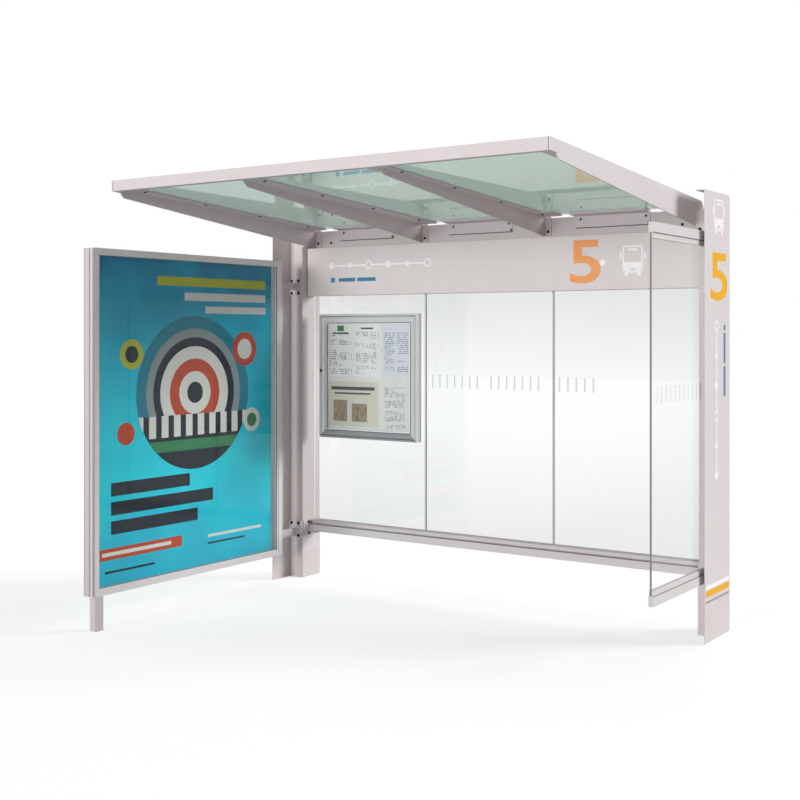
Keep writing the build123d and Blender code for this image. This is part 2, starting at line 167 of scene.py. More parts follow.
class Finish:
    """A material. node() adds any node, and shade() feeds the shader's own sockets."""

    def __init__(self, name):
        self.material = bpy.data.materials.new(name)
        self.material.use_nodes = True
        self.tree = self.material.node_tree
        self.shader = self.tree.nodes["Principled BSDF"]

    def feed(self, socket, value):
        if isinstance(value, Value):
            self.tree.links.new(value.socket, socket)
        else:
            socket.default_value = value

    def node(self, kind, settings=None, inputs=None, output=0):
        node = self.tree.nodes.new(kind)
        for setting, value in (settings or {}).items():
            if setting == "stops":
                ramp = node.color_ramp.elements
                while len(ramp) < len(value):
                    ramp.new(1.0)
                for element, (place, colour) in zip(ramp, value):
                    element.position = place
                    element.color = colour
            else:
                setattr(node, setting, value)
        for name, value in (inputs or {}).items():
            self.feed(node.inputs[name], value)
        return Value(self, node.outputs[output])

    def shade(self, inputs):
        for name, value in inputs.items():
            self.feed(self.shader.inputs[name], value)

    def place(self):
        return self.node("ShaderNodeTexCoord", output="Object")

    def along(self, axis):
        """Where a point lies along X, Y or Z, in metres."""
        return self.node("ShaderNodeSeparateXYZ", None, {0: self.place()}, output=axis)

    def noise(self, scale, detail=2.0, stretch=(1, 1, 1)):
        where = self.node("ShaderNodeMapping", None, {"Vector": self.place(), "Scale": stretch})
        return self.node("ShaderNodeTexNoise", None, {"Vector": where, "Scale": scale, "Detail": detail})

    def blend(self, factor, first, second):
        return self.node(
            "ShaderNodeMix", {"data_type": "RGBA"}, {0: factor, 6: first, 7: second}, output=2
        )

    def bump(self, height, distance):
        return self.node("ShaderNodeBump", None, {"Strength": 0.3, "Distance": distance, "Height": height})


def tone(red, green, blue):
    """A colour given by its 0 to 255 screen values, as the shader takes it."""
    shares = [value / 255 for value in (red, green, blue)]
    return (*(s / 12.92 if s <= 0.04045 else ((s + 0.055) / 1.055) ** 2.4 for s in shares), 1.0)


def deeper(colour, share):
    """A colour with its light cut, or raised, to a share."""
    return (*(value * share for value in colour[:3]), 1.0)


def powder_coat(name, colour, roughness=0.55):
    """A powder coat with clouds, an uneven sheen, a dulled foot and an orange peel."""
    finish = Finish(name)
    clouds = finish.noise(1.7, 3.0) * 0.6 + finish.noise(9.0, 5.0) * 0.4
    coated = finish.blend(clouds, deeper(colour, 0.94), deeper(colour, 1.05))
    splash = (finish.along("Z") < 0.10 + 0.16 * finish.noise(7.0, 4.0)) * 0.08
    finish.shade(
        {
            "Base Color": finish.blend(splash, coated, tone(168, 160, 152)),
            "Roughness": finish.noise(14.0, 3.0) * 0.14 + (roughness - 0.07),
            "Specular IOR Level": 0.25,
            "Normal": finish.bump(finish.noise(520.0, 1.0), 0.0004),
        }
    )
    return finish


def coat(finish, *names):
    """Gives CAD nodes their finish."""
    for name in names:
        for slot in nodes[name].material_slots:
            slot.material = finish.material


post_coat = powder_coat("post_coat", tone(222, 214, 214))
coat(post_coat, "left_post", "right_post", "left_plate", "back_beam", "case_leg")


# ---------------------------------------------------------------------------
# Arms of the poster case: steel webs welded to plates in the coat of the posts.
# Each plate is bolted to the post by four black button-head bolts with a
# sunk socket.
# ---------------------------------------------------------------------------
coat(post_coat, "case_arm_upper", "case_arm_lower")

# Each of these turns a bolt head or a flat shape, made facing up, to face one way.
FRONT = Matrix(((1, 0, 0), (0, 0, -1), (0, 1, 0)))
RIGHT = Matrix(((0, 0, 1), (1, 0, 0), (0, 1, 0)))
LEFT = Matrix(((0, 0, -1), (-1, 0, 0), (0, 1, 0)))
DOWN = Matrix(((1, 0, 0), (0, -1, 0), (0, 0, -1)))

bolt_black = Finish("bolt_black")
bolt_black.shade(
    {
        "Base Color": bolt_black.blend(bolt_black.noise(240.0, 3.0), tone(48, 47, 48), tone(80, 78, 78)),
        "Metallic": 0.6,
        "Roughness": bolt_black.noise(900.0) * 0.2 + 0.35,
    }
)


def select(piece, kind, test):
    """Opens a piece for editing, with only the faces or edges selected whose middle passes the test."""
    bpy.ops.object.select_all(action="DESELECT")
    piece.select_set(True)
    bpy.context.view_layer.objects.active = piece
    bpy.ops.object.mode_set(mode="EDIT")
    bpy.ops.mesh.select_mode(type=kind)
    bpy.ops.mesh.select_all(action="DESELECT")
    shape = bmesh.from_edit_mesh(piece.data)
    for part in shape.faces if kind == "FACE" else shape.edges:
        corners = [corner.co for corner in part.verts]
        if test(sum(corners, Vector()) / len(corners)):
            part.select_set(True)
    bmesh.update_edit_mesh(piece.data)


def bolt_head(radius, height):
    """A button head on its own: a disc with a round shoulder and a sunk socket, facing up its Z axis."""
    bpy.ops.object.select_all(action="DESELECT")
    bpy.ops.mesh.primitive_cylinder_add(
        vertices=24, radius=radius, depth=height, location=(0, 0, height / 2)
    )
    head = bpy.context.object
    bpy.ops.object.transform_apply(location=True)
    shoulder = height * 0.55
    select(head, "EDGE", lambda middle: middle.z > height * 0.99)
    bpy.ops.mesh.bevel(offset=shoulder, segments=3, affect="EDGES")
    bpy.ops.object.mode_set(mode="OBJECT")
    select(head, "FACE", lambda middle: middle.z > height * 0.99)
    bpy.ops.mesh.inset(thickness=radius * 0.35)
    bpy.ops.mesh.extrude_region_move(TRANSFORM_OT_translate={"value": (0, 0, -shoulder)})
    bpy.ops.object.mode_set(mode="OBJECT")
    bpy.ops.object.shade_smooth_by_angle(angle=math.radians(40))
    return head


def fit(name, shapes, finish, body="frame"):
    """Joins shapes as one named piece with its finish, riding on a body."""
    bpy.ops.object.select_all(action="DESELECT")
    for shape in shapes:
        shape.select_set(True)
    piece = shapes[0]
    bpy.context.view_layer.objects.active = piece
    if len(shapes) > 1:
        bpy.ops.object.join()
    piece.name = name
    piece.data.name = name
    piece.data.materials.clear()
    piece.data.materials.append(finish.material)
    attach(piece, body)
    return piece


def bolts(name, model, facing, places, body="frame"):
    """One copy of a bolt head at each place, facing one way."""
    copies = []
    for place in places:
        copy = bpy.data.objects.new(name, model.data.copy())
        copy.data.transform(Matrix.Translation(place) @ facing.to_4x4())
        bpy.context.scene.collection.objects.link(copy)
        copies.append(copy)
    return fit(name, copies, bolt_black, body)


ARM_PLATE = 0.010
BOLT_FROM_EDGE = 0.014
arm_bolt = bolt_head(radius=0.0095, height=0.006)
arm_places = []
for arm in ("case_arm_upper", "case_arm_lower"):
    low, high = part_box(arm)
    plate_face = high.y - ARM_PLATE
    for x in (low.x + 0.023, high.x - 0.017):
        for z in (low.z + BOLT_FROM_EDGE, high.z - BOLT_FROM_EDGE):
            arm_places.append((x, plate_face, z))
bolts("arm_bolts", arm_bolt, FRONT, arm_places)

# ---------------------------------------------------------------------------
# Bottom rail of the back wall: an extruded aluminium bar with clamp strips along
# the glass, all in one coat. It stands between brackets that are bolted to the
# posts, and is bolted from below near each end.
# ---------------------------------------------------------------------------
rail_coat = powder_coat("rail_coat", tone(220, 213, 213))
coat(rail_coat, "bottom_rail", "glass_clamps", "rail_brackets")

rail_low, rail_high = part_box("bottom_rail")
rail_places = []
for x in (rail_low.x + 0.012, rail_low.x + 0.055, rail_high.x - 0.055, rail_high.x - 0.012):
    rail_places.append((x, rail_low.y + 0.020, rail_low.z))
bolts("rail_bolts", arm_bolt, DOWN, rail_places)
bracket_low, bracket_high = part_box("rail_brackets")
rail_end = rail_high.x
post_side = bracket_high.x
for name, facing, side in (("left_bracket_bolts", RIGHT, -1), ("right_bracket_bolts", LEFT, 1)):
    bracket_places = [
        (side * rail_end, 0.7840, bracket_low.z + 0.011),
        (side * rail_end, 0.7840, bracket_high.z - 0.011),
        (side * post_side, 0.8650, rail_low.z - 0.013),
    ]
    bolts(name, arm_bolt, facing, bracket_places)


# ---------------------------------------------------------------------------
# Wall glass: three clear toughened sheets with grey rubber between them and a
# gasket on the rail. Rain and hands leave a faint film, most of it high and low.
# Fired-on grey dashes warn people of the glass.
# ---------------------------------------------------------------------------
def sheet_glass(name, tint, film, passes, ior=1.5):
    """Toughened glass with a thin film of dust. It lets a share of the light on through it."""
    finish = Finish(name)
    finish.shade(
        {
            "Base Color": tint,
            "Roughness": finish.noise(6.0, 4.0) * film,
            "IOR": ior,
            "Transmission Weight": 1.0,
        }
    )
    shadow = finish.node("ShaderNodeLightPath", output="Is Shadow Ray")
    diffuse = finish.node("ShaderNodeLightPath", output="Is Diffuse Ray")
    clear = finish.node("ShaderNodeBsdfTransparent", None, {"Color": (passes, passes, passes, 1.0)})
    glass = Value(finish, finish.shader.outputs[0])
    mixed = finish.node("ShaderNodeMixShader", None, {0: shadow + diffuse, 1: glass, 2: clear})
    finish.tree.links.new(mixed.socket, finish.tree.nodes["Material Output"].inputs["Surface"])
    return finish


wiped = tone(252, 253, 252)
dusty = tone(228, 230, 229)
wall_glass = sheet_glass("wall_glass", wiped, 0.02, 0.9)
coat(wall_glass, "wall_glass_1", "wall_glass_2", "wall_glass_3")
height_share = (wall_glass.along("Z") + wall_glass.noise(0.9) * 0.3 - 0.30) * 0.6
dust = wall_glass.node(
    "ShaderNodeValToRGB",
    {"stops": [(0.0, dusty), (0.52, wiped), (0.66, wiped), (1.0, dusty)]},
    {0: height_share},
)
wall_glass.shade({"Base Color": dust})
joint_rubber = powder_coat("joint_rubber", tone(196, 198, 198), 0.6)
coat(joint_rubber, "glass_joints")


def bar(left, low, right, high, corner=0.0):
    """A flat rectangle, laid out in metres across and up, with round corners if asked."""
    bpy.ops.object.select_all(action="DESELECT")
    bpy.ops.mesh.primitive_plane_add(size=1, location=((left + right) / 2, (low + high) / 2, 0))
    shape = bpy.context.object
    shape.scale = (right - left, high - low, 1)
    bpy.ops.object.transform_apply(location=True, scale=True)
    if corner:
        bpy.ops.object.mode_set(mode="EDIT")
        bpy.ops.mesh.select_all(action="SELECT")
        bpy.ops.mesh.bevel(offset=corner, segments=6, affect="VERTICES")
        bpy.ops.object.mode_set(mode="OBJECT")
    return shape


def disc(across, up, radius):
    """A flat disc with its middle at a place."""
    bpy.ops.object.select_all(action="DESELECT")
    bpy.ops.mesh.primitive_circle_add(
        vertices=40, radius=radius, fill_type="NGON", location=(across, up, 0)
    )
    bpy.ops.object.transform_apply(location=True)
    return bpy.context.object


def outlined(shape, width):
    """Cuts the middle out of a flat shape and leaves a band of one width."""
    select(shape, "FACE", lambda middle: True)
    bpy.ops.mesh.inset(thickness=width)
    bpy.ops.mesh.delete(type="FACE")
    bpy.ops.object.mode_set(mode="OBJECT")
    return shape


def film(name, shapes, finish, slot, facing, corner, thickness=0.0004, body="frame"):
    """Flat shapes as one thin layer that starts at a corner of a surface and faces away from it."""
    piece = fit(name, shapes, finish, body)
    layer = piece.modifiers.new("layer", "SOLIDIFY")
    layer.thickness = thickness
    layer.offset = 1.0
    bpy.context.view_layer.objects.active = piece
    bpy.ops.object.modifier_apply(modifier="layer")
    piece.data.transform(Matrix.Translation(corner) @ facing.to_4x4())
    return piece


def ink(name, colour, roughness=0.4):
    """Printed or cut film: one colour, slightly uneven in depth and sheen."""
    finish = Finish(name)
    finish.shade(
        {
            "Base Color": finish.blend(finish.noise(30.0, 3.0), deeper(colour, 0.95), deeper(colour, 1.04)),
            "Roughness": finish.noise(60.0) * 0.1 + roughness,
        }
    )
    return finish


gasket_rubber = ink("gasket_rubber", tone(128, 123, 123), 0.6)
film(
    "rail_gasket",
    [bar(rail_low.x, 0, rail_high.x, 0.006)],
    gasket_rubber,
    "rail_metal",
    FRONT,
    (0, rail_low.y, rail_high.z - 0.005),
    0.0003,
)

DASH_WIDTH = 0.009
DASH_TALL = 0.080
DASH_PITCH = 0.052
DASH_HEIGHT = 1.205  # of the foot of a dash above the ground
CLEAR_OF_GLASS = 0.0001
dash_grey = ink("dash_grey", tone(224, 228, 228))


def dash_row(start, count):
    """A row of upright dashes at one pitch."""
    starts = [start + index * DASH_PITCH for index in range(count)]
    return [bar(left, 0, left + DASH_WIDTH, DASH_TALL) for left in starts]


glass_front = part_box("wall_glass_2")[0].y
film(
    "wall_dashes",
    dash_row(-0.40, 7) + dash_row(0.005, 7) + dash_row(0.45, 5),
    dash_grey,
    "wall_glass",
    FRONT,
    (0, glass_front - CLEAR_OF_GLASS, DASH_HEIGHT),
    0.0002,
)

# ---------------------------------------------------------------------------
# Header panel: a folded tray in front of the glass, in a satin coat a shade
# deeper. It carries a plan of the line, a line number and a bus sign as film.
# ---------------------------------------------------------------------------
header_coat = powder_coat("header_coat", tone(226, 218, 217), 0.5)
coat(header_coat, "header_panel", "header_back")

white_film = ink("white_film", tone(250, 250, 250))
blue_film = ink("blue_film", tone(70, 130, 165))
orange_film = ink("orange_film", tone(246, 168, 108))


def line_plan(length, stops, dot):
    """A plan of a line: a bar with a dot for each stop and a ring for this one."""
    shapes = []
    pitch = length / (stops - 1)
    sizes = [dot * (0.80, 0.62, 1.00)[index % 3] for index in range(stops)]
    for index, radius in enumerate(sizes):
        stop = disc(pitch * index, 0, radius)
        shapes.append(outlined(stop, dot * 0.32) if index % 3 == 2 else stop)
        if index:
            left = pitch * (index - 1) + sizes[index - 1] * 0.98
            shapes.append(bar(left, -dot * 0.2, pitch * index - radius * 0.98, dot * 0.2))
    return shapes


def bus_sign(width):
    """A bus seen from the front, cut from film: shell, lower body, sign box, mirrors and wheels."""
    u = width / 150
    return [
        outlined(bar(16 * u, 20 * u, 134 * u, 164 * u, 16 * u), 9 * u),
        bar(24 * u, 28 * u, 62 * u, 76 * u),
        bar(88 * u, 28 * u, 126 * u, 76 * u),
        bar(62 * u, 46 * u, 88 * u, 76 * u),
        bar(48 * u, 136 * u, 102 * u, 147 * u),
        bar(28 * u, 4 * u, 48 * u, 20 * u, 3 * u),
        bar(102 * u, 4 * u, 122 * u, 20 * u, 3 * u),
        bar(0, 92 * u, 10 * u, 128 * u, 4 * u),
        bar(140 * u, 92 * u, 150 * u, 128 * u, 4 * u),
    ]


def numeral(text, width, height):
    """A plain heavy number, laid flat and drawn out to the width and height asked."""
    bpy.ops.object.select_all(action="DESELECT")
    bpy.ops.object.text_add(location=(0, 0, 0))
    word = bpy.context.object
    word.data.body = text
    word.data.size = height / 0.71
    word.data.offset = height * 0.022
    bpy.ops.object.convert(target="MESH")
    bpy.ops.object.shade_flat()
    word = bpy.context.object
    across = [vertex.co.x for vertex in word.data.vertices]
    up = [vertex.co.y for vertex in word.data.vertices]
    drawn_wide, drawn_tall = max(across) - min(across), max(up) - min(up)
    to_corner = Matrix.Translation((-min(across), -min(up), 0))
    word.data.transform(Matrix.Diagonal((width / drawn_wide, height / drawn_tall, 1, 1)) @ to_corner)
    return word


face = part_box("header_panel")[0].y
film("header_line", line_plan(0.720, 6, 0.026), white_film, "header_metal", FRONT, (-1.105, face, 1.942))
film(
    "header_note",
    [bar(0, 0, 0.030, 0.030), bar(0.062, 0.004, 0.190, 0.026), bar(0.204, 0.004, 0.345, 0.026)],
    blue_film,
    "header_metal",
    FRONT,
    (-1.110, face, 1.840),
)
film("header_number", [numeral("5", 0.187, 0.234)], orange_film, "header_metal", FRONT, (0.555, face, 1.796))
film("header_dot", [disc(0, 0, 0.017)], white_film, "header_metal", FRONT, (0.752, face, 1.905))
film("header_bus", bus_sign(0.150), white_film, "header_metal", FRONT, (0.853, face, 1.827))

# ---------------------------------------------------------------------------
# Roof: tapered steel rafters, a folded fascia and angle clamps in one coat.
# Black screws hold the glass and the clamps, and bolts hold the rafters' ends.
# A painted shadow shows dark under the clamps, and joints show dark at the ends of the fascia.
# ---------------------------------------------------------------------------
roof_coat = powder_coat("roof_coat", tone(221, 213, 213))
coat(roof_coat, "left_rafter", "right_rafter", "middle_rafter_1", "middle_rafter_2", "front_fascia")
CLAMPS = ("panel_clamp_1", "panel_clamp_2", "panel_clamp_3")
coat(roof_coat, *CLAMPS)

GLASS_SLOPE = 0.065
FLANGE_DROP = 0.0385
roof_front_low, roof_front_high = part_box("front_fascia")


def flange_under(y):
    """Height of the underside of the flanges at y."""
    return roof_front_high.z - FLANGE_DROP - GLASS_SLOPE * (y - roof_front_low.y)


SCREW_PITCH = 0.4365
flange_screw = bolt_head(radius=0.0080, height=0.005)
screw_places = []
for x, first, count in ((-1.216, -0.632, 4), (-0.376, -0.635, 4), (0.400, -0.567, 4), (1.216, -0.1955, 3)):
    for index in range(count):
        y = first + index * SCREW_PITCH
        screw_places.append((x, y, flange_under(y)))
bolts("flange_screws", flange_screw, DOWN, screw_places)

CLAMP_LEG = 0.008
clamp_screw = bolt_head(radius=0.0065, height=0.004)
clamp_places = []
for clamp in CLAMPS:
    low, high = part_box(clamp)
    leg_face = high.y - CLAMP_LEG
    for x, above_foot in ((low.x + 0.036, 0.0440), (high.x - 0.024, 0.0440), (high.x - 0.008, 0.0075)):
        clamp_places.append((x, leg_face, low.z + above_foot))
bolts("clamp_screws", clamp_screw, FRONT, clamp_places)

RAFTER_PLATE = 0.008
end_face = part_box("middle_rafter_1")[1].y - RAFTER_PLATE
end_places = [(x, end_face, 2.092) for x in (-1.270, -0.452, 0.382, 1.270)]
bolts("rafter_bolts", flange_screw, FRONT, end_places)

# Painted shadow: a dark line on the beam under each clamp, where the clamp's shadow falls.
SHADOW_LINE = 0.005
joint_shade = ink("joint_shade", tone(104, 100, 100), 0.6)
clamp_shadows = [bar(low.x, 0, high.x, SHADOW_LINE) for low, high in map(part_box, CLAMPS)]
clamp_low, clamp_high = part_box("panel_clamp_1")
clamp_foot = (0, clamp_high.y, clamp_low.z - SHADOW_LINE)
film("clamp_shadows", clamp_shadows, joint_shade, "post_metal", FRONT, clamp_foot)
film(
    "fascia_joints",
    [bar(x, 0, x + 0.003, 0.055) for x in (-1.2875, 1.2845)],
    joint_shade,
    "roof_metal",
    FRONT,
    (0, roof_front_low.y, roof_front_low.z),
    0.0001,
)

# ---------------------------------------------------------------------------
# Roof glass: three sheets of green tinted toughened glass, laid on the flanges.
# Its dust takes the edge off what shows through and holds back some light.
# ---------------------------------------------------------------------------
roof_glass = sheet_glass("roof_glass", tone(174, 205, 192), 0.03, 0.35)
coat(roof_glass, "roof_glass_1", "roof_glass_2", "roof_glass_3")

# ---------------------------------------------------------------------------
# Glass return: a clear sheet with a ground front edge, held with grey gaskets
# in grooved rails in the coat of the bottom rail. It is fixed to the front of
# the right post, and bolts beside it and on the beam hold the roof's ends.
# ---------------------------------------------------------------------------
coat(rail_coat, "return_bottom_rail", "return_top_rail")
return_clear = sheet_glass("return_clear", tone(254, 255, 254), 0.01, 0.95, 1.25)
coat(return_clear, "return_glass")

return_low, return_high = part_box("return_glass")
surface = return_clear.tree.nodes["Material Output"].inputs["Surface"]
clear_part = Value(return_clear, surface.links[0].from_socket)
ground = return_clear.node("ShaderNodeBsdfDiffuse", None, {"Color": tone(140, 144, 142)})
at_edge = return_clear.along("Y") < return_low.y + 0.0004
edged = return_clear.node("ShaderNodeMixShader", None, {0: at_edge, 1: clear_part, 2: ground})
return_clear.feed(surface, edged)

post_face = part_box("right_post")[0].y
bolts("post_bolts", arm_bolt, FRONT, [(1.320, post_face, 2.053)])
beam_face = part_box("back_beam")[0].y
bolts("beam_bolts", flange_screw, FRONT, [(x, beam_face, 2.094) for x in (1.174, -1.174)])

GASKET = 0.004
GASKET_PITCH = 1.650  # from the lower gasket up to the upper one
return_rail_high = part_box("return_bottom_rail")[1]
rail_length = return_rail_high.y - return_low.y
film(
    "return_gaskets",
    [bar(0, low, rail_length, low + GASKET) for low in (0, GASKET_PITCH)],
    gasket_rubber,
    "rail_metal",
    RIGHT,
    (return_rail_high.x, return_low.y, 0.3335),
    0.0003,
)
film(
    "return_dashes",
    dash_row(0.055, 12),
    dash_grey,
    "wall_glass",
    RIGHT,
    (return_high.x + CLEAR_OF_GLASS, return_low.y, DASH_HEIGHT),
    0.0002,
)


# ---------------------------------------------------------------------------
# Poster case: powder coated aluminium bars, and on its inner side a glazed
# door of satin anodised bars with fine lines along them. Grey rubber seals
# the panes. The darker lines on the end are painted shade: a shadow line at
# its outer edge, the shade in a groove, and a band along the door's edge.
# ---------------------------------------------------------------------------
def anodised(name, colour, metallic=0.15):
    """Satin anodised aluminium with faint die lines."""
    finish = Finish(name)
    clouds = finish.noise(3.0, 3.0)
    lines = finish.noise(260.0, 2.0, (1, 1, 0.02))
    finish.shade(
        {
            "Base Color": finish.blend(clouds, deeper(colour, 0.95), deeper(colour, 1.04)),
            "Metallic": metallic,
            "Roughness": lines * 0.12 + 0.42,
            "Specular IOR Level": 0.3,
            "Normal": finish.bump(lines, 0.0002),
        }
    )
    return finish


case_coat = powder_coat("case_coat", tone(214, 205, 207))
coat(case_coat, "case_front_bar", "case_rear_bar", "case_top_bar", "case_bottom_bar")
door_metal = anodised("door_metal", tone(242, 238, 238))
coat(door_metal, "poster_door_stiles", "poster_door_rails")
END_INSET = 0.002
case_low, case_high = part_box("case_front_bar")
end_tall = case_high.z - case_low.z - 2 * END_INSET
end_corner = (0, case_low.y, case_low.z + END_INSET)
# Painted shade: darker lines on the case's end, namely a shadow line at its outer edge and the shade in a
# groove, and a band along the door's edge.
end_shade = ink("end_shade", tone(168, 161, 161), 0.6)
film(
    "case_end_lines",
    [bar(x, 0, x + 0.004, end_tall) for x in (-1.3715, -1.334)],
    end_shade,
    "case_metal",
    FRONT,
    end_corner,
    0.0001,
)
film(
    "poster_door_edge",
    [bar(-1.3085, 0, -1.2935, end_tall)],
    end_shade,
    "case_metal",
    FRONT,
    end_corner,
    0.0001,
    "poster_door",
)
case_glass = sheet_glass("case_glass", tone(252, 254, 253), 0.01, 0.95, 1.25)
coat(case_glass, "case_outer_glass", "poster_door_glass")

SEAL_WIDE = 0.003
SEAL_THICK = 0.002
seal_grey = ink("seal_grey", tone(122, 122, 124), 0.6)
pane_low, pane_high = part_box("poster_door_glass")
pane_size = (pane_high.y - pane_low.y, pane_high.z - pane_low.z)
film(
    "poster_door_seal",
    [outlined(bar(0, 0, *pane_size), SEAL_WIDE)],
    seal_grey,
    "case_glass",
    RIGHT,
    (pane_high.x, pane_low.y, pane_low.z),
    SEAL_THICK,
    "poster_door",
)
outer_low, outer_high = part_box("case_outer_glass")
film(
    "case_outer_seal",
    [outlined(bar(0, 0, *pane_size), SEAL_WIDE)],
    seal_grey,
    "case_glass",
    LEFT,
    (outer_low.x, outer_high.y, outer_low.z),
    SEAL_THICK,
)

# ---------------------------------------------------------------------------
# Posters: one printed sheet on each side of the white backing board. A plain
# pattern of discs, bands and bars on a deep blue-green that pales downwards.
# ---------------------------------------------------------------------------
board_white = powder_coat("board_white", tone(240, 240, 238), 0.6)
coat(board_white, "case_board")

board_low, board_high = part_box("case_board")
POSTER_MARGIN = 0.020
poster_wide = board_high.y - board_low.y - POSTER_MARGIN
poster_tall = board_high.z - board_low.z

poster = Finish("poster")
across = poster.along("Y") - board_low.y
up = poster.along("Z") - board_low.z


def in_disc(centre_across, centre_up, radius):
    """1 inside a disc of the poster and 0 outside it."""
    from_centre = across - centre_across
    above_centre = up - centre_up
    return from_centre * from_centre + above_centre * above_centre < radius * radius


def in_bar(left, low, right, high):
    """1 inside a rectangle of the poster and 0 outside it."""
    return (across > left) * (across < right) * (up > low) * (up < high)


print_white = tone(236, 238, 232)
print_dark = tone(38, 48, 58)
print_red = tone(206, 82, 52)
print_lime = tone(196, 205, 60)
print_grey = tone(150, 165, 168)
print_green = tone(60, 140, 95)
shade = up * (1 / poster_tall) + poster.noise(2.6, 5.0) * 0.55 - 0.28
artwork = poster.node(
    "ShaderNodeValToRGB",
    {
        "stops": [
            (0.0, tone(44, 196, 226)),
            (0.30, tone(34, 232, 250)),
            (0.65, tone(20, 204, 234)),
            (1.0, tone(12, 138, 180)),
        ]
    },
    {0: shade},
)
target = (0.70, 0.98)
hull = in_disc(*target, 0.43) * (up < 0.86)
for mask, colour in (
    (in_disc(*target, 0.43), tone(30, 140, 165)),
    (in_disc(*target, 0.36), print_grey),
    (in_disc(*target, 0.31), print_dark),
    (in_disc(*target, 0.26), print_white),
    (in_disc(*target, 0.19), print_red),
    (in_disc(*target, 0.12), print_white),
    (in_disc(*target, 0.06), print_dark),
    (hull, print_dark),
    (hull * ((across % 0.09) < 0.05) * (up > 0.74), print_white),
    (hull * (up < 0.72) * (up > 0.66), print_green),
    (in_disc(1.10, 1.22, 0.10), print_red),
    (in_disc(1.10, 1.22, 0.06), print_white),
    (in_disc(0.24, 1.20, 0.08), print_lime),
    (in_disc(0.24, 1.20, 0.045), print_dark),
    (in_disc(1.16, 0.80, 0.07), print_white),
    (in_disc(1.16, 0.80, 0.04), print_green),
    (in_disc(0.20, 0.78, 0.06), print_red),
    (in_bar(0.42, 1.575, 1.28, 1.625), print_lime),
    (in_bar(0.62, 1.495, 1.28, 1.540), print_white),
    (in_bar(0.78, 1.425, 1.28, 1.465), print_white),
    (in_bar(0.10, 0.46, 0.66, 0.53), print_dark),
    (in_bar(0.10, 0.36, 0.84, 0.43), print_dark),
    (in_bar(0.10, 0.26, 0.72, 0.33), print_dark),
    (in_bar(0.0, 0.13, 0.60, 0.19), print_red),
    (in_bar(0.04, 0.15, 0.52, 0.17), print_white),
    (in_bar(0.80, 0.15, 1.24, 0.165), print_white),
    (in_bar(0.80, 0.11, 1.10, 0.120), print_dark),
    (in_bar(0.06, 0.06, 0.40, 0.072), print_dark),
):
    artwork = poster.blend(mask, artwork, colour)
poster.shade(
    {
        "Base Color": artwork,
        "Roughness": poster.noise(5.0) * 0.1 + 0.55,
        "Specular IOR Level": 0.1,
    }
)
for name, facing, corner in (
    ("inner_poster", RIGHT, (board_high.x, board_low.y, board_low.z)),
    ("outer_poster", LEFT, (board_low.x, board_low.y + poster_wide, board_low.z)),
):
    film(name, [bar(0, 0, poster_wide, poster_tall)], poster, "board", facing, corner)

# ---------------------------------------------------------------------------
# Notice case: anodised bars round a glazed door, with a groove in the moulding
# whose floor is painted dark as shade, a dark seal at the glass that is also
# painted shade in the gap, a white ring painted as a highlight, a lock, and
# painted shade on the lowest bar.
# Inside, printed sheets lie on a pale board.
# ---------------------------------------------------------------------------
notice_metal = anodised("notice_metal", tone(238, 240, 239), 0.35)
coat(notice_metal, "notice_case", "notice_door_stiles")
bar_unshaded = tone(240, 242, 241)
bar_shaded = tone(112, 114, 114)
notice_bars = anodised("notice_bars", bar_unshaded, 0.35)
# Painted shade: the rails below 0.93 m are darkened towards grey, as if shade fell on them.
low_bar_shade = (notice_bars.along("Z") < 0.93) * 0.6
notice_bars.shade({"Base Color": notice_bars.blend(low_bar_shade, bar_unshaded, bar_shaded)})
coat(notice_bars, "notice_door_rails")
coat(case_glass, "notice_door_glass")
coat(board_white, "notice_board")

window_low, window_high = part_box("notice_door_glass")
window_wide = window_high.x - window_low.x
window_tall = window_high.z - window_low.z
DARK_SEAL = 0.004
HIGHLIGHT_WIDE = 0.007
# A dark seal round the glass that also serves as painted shade in the gap by the frame; the same dark is
# painted shade on the groove's floor.
seal_and_shade_dark = ink("seal_and_shade_dark", tone(70, 74, 74), 0.6)
film(
    "notice_door_seal",
    [outlined(bar(0, 0, window_wide, window_tall), DARK_SEAL)],
    seal_and_shade_dark,
    "case_glass",
    FRONT,
    window_low,
    SEAL_THICK,
    "notice_door",
)
door_low, door_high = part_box("notice_door_stiles")
door_wide = door_high.x - door_low.x
door_tall = door_high.z - door_low.z
GROOVE_START = 0.0111  # from the edge of the door, at its sides and foot
GROOVE_END = 0.0137
groove_high_start = door_tall - 0.0161
groove_high_end = door_tall - 0.0130
groove_floor = door_high.y - 0.009
# Painted shade: dark film on the floor of the moulding's groove.
film(
    "notice_groove_shade",
    [
        bar(GROOVE_START, GROOVE_START, GROOVE_END, groove_high_end),
        bar(door_wide - GROOVE_END, GROOVE_START, door_wide - GROOVE_START, groove_high_end),
        bar(GROOVE_END, GROOVE_START, door_wide - GROOVE_END, GROOVE_END),
        bar(GROOVE_END, groove_high_start, door_wide - GROOVE_END, groove_high_end),
    ],
    seal_and_shade_dark,
    "notice_metal",
    FRONT,
    (door_low.x, groove_floor, door_low.z),
    0.0002,
    "notice_door",
)
# Painted highlight: a white ring round the glass, inside the dark seal, standing in for the shine of the
# moulding's inner slope.
painted_highlight_bead = ink("painted_highlight_bead", tone(244, 245, 245), 0.3)
highlight_ring = bar(DARK_SEAL, DARK_SEAL, window_wide - DARK_SEAL, window_tall - DARK_SEAL)
film(
    "notice_door_highlight",
    [outlined(highlight_ring, HIGHLIGHT_WIDE)],
    painted_highlight_bead,
    "case_glass",
    FRONT,
    window_low,
    SEAL_THICK,
    "notice_door",
)
lock = bolt_head(radius=0.010, height=0.004)
bolts("notice_lock", lock, FRONT, [(-1.202, 0.7850, 1.296)], "notice_door")


